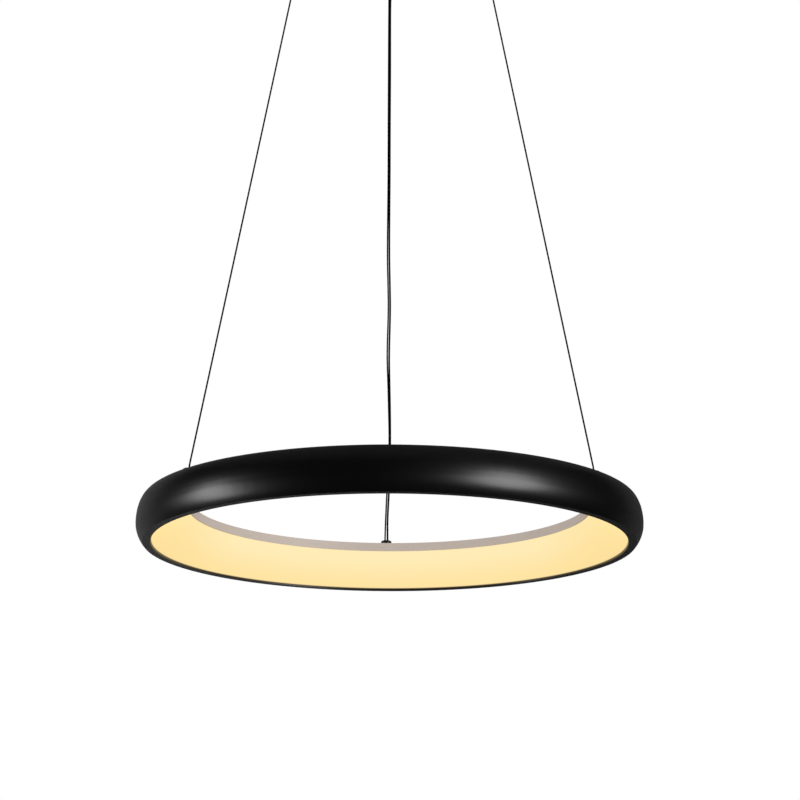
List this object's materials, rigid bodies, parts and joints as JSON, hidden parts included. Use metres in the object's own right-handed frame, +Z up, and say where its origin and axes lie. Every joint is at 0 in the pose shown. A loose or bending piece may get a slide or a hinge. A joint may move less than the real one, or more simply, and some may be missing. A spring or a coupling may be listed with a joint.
{
  "type": "led ring pendant light",
  "caption": "Round LED pendant light: a black hollow ring with a glowing conical opal inside, hung on thin wires from a round ceiling canopy with wire grippers.",
  "frame": {"origin": "on the ceiling, at the middle of the bracket's two screw slots", "axes": "+Z up to the ceiling, +X to the right and +Y away from the picture's camera, towards the wire with the power cord"},
  "size_m": [0.6, 0.6, 1],
  "materials": {
    "black_shell": "satin black powder coat on spun aluminium",
    "white_frame": "matte white lacquer",
    "opal_diffuser": "opal acrylic, lit warm white",
    "light_strip": "white solder mask",
    "light_chips": "phosphor gel",
    "black_canopy": "satin black powder coat on steel",
    "black_fitting": "black turned steel",
    "steel_plunger": "nickel-plated",
    "black_wire": "black plastic coat on steel rope",
    "black_cord": "black plastic sheath",
    "black_nylon": "moulded",
    "zinc_steel": "zinc plated",
    "driver_case": "moulded white",
    "terminal_plastic": "moulded"
  },
  "bodies": {
    "canopy": {"canopy_cup": "black_canopy", "gripper_body_rear": "black_fitting", "gripper_body_left": "black_fitting", "gripper_body_right": "black_fitting", "canopy_screws": "black_fitting", "driver_lead": "black_cord", "cord_gland": "black_nylon", "gland_nut": "black_nylon", "ceiling_bracket": "zinc_steel", "gripper_nuts": "zinc_steel", "driver_nuts": "zinc_steel", "earth_screw": "zinc_steel", "terminal_screws": "zinc_steel", "gripper_spring_rear": "zinc_steel", "gripper_spring_left": "zinc_steel", "gripper_spring_right": "zinc_steel", "led_driver": "driver_case", "mains_terminal": "terminal_plastic"},
    "ring": {"outer_shell": "black_shell", "inner_frame": "white_frame", "diffuser": "opal_diffuser", "led_strip": "light_strip", "led_chips": "light_chips", "strip_terminal": "terminal_plastic", "collar_nuts": "zinc_steel", "wire_stops": "zinc_steel", "frame_screws": "black_fitting", "power_cord": "black_cord", "wire_collar_rear": "black_fitting", "wire_collar_left": "black_fitting", "wire_collar_right": "black_fitting", "wire_rear": "black_wire", "wire_left": "black_wire", "wire_right": "black_wire"},
    "plunger_rear": {"gripper_plunger_rear": "steel_plunger"},
    "plunger_left": {"gripper_plunger_left": "steel_plunger"},
    "plunger_right": {"gripper_plunger_right": "steel_plunger"}
  },
  "joints": [
    {"name": "height_adjust", "type": "slide", "parent": "canopy", "child": "ring", "axis": [0, 0, 1], "range_m": [0, 0.5], "deforming": ["wire_rear", "wire_left", "wire_right", "power_cord"]},
    {"name": "release_rear", "type": "slide", "parent": "canopy", "child": "plunger_rear", "axis": [0, 0, 1], "range_m": [0, 0.002], "stiffness_N_per_m": 1500, "springref_m": -0.001, "deforming": ["gripper_spring_rear"]},
    {"name": "release_left", "type": "slide", "parent": "canopy", "child": "plunger_left", "axis": [0, 0, 1], "range_m": [0, 0.002], "stiffness_N_per_m": 1500, "springref_m": -0.001, "deforming": ["gripper_spring_left"]},
    {"name": "release_right", "type": "slide", "parent": "canopy", "child": "plunger_right", "axis": [0, 0, 1], "range_m": [0, 0.002], "stiffness_N_per_m": 1500, "springref_m": -0.001, "deforming": ["gripper_spring_right"]}
  ]
}
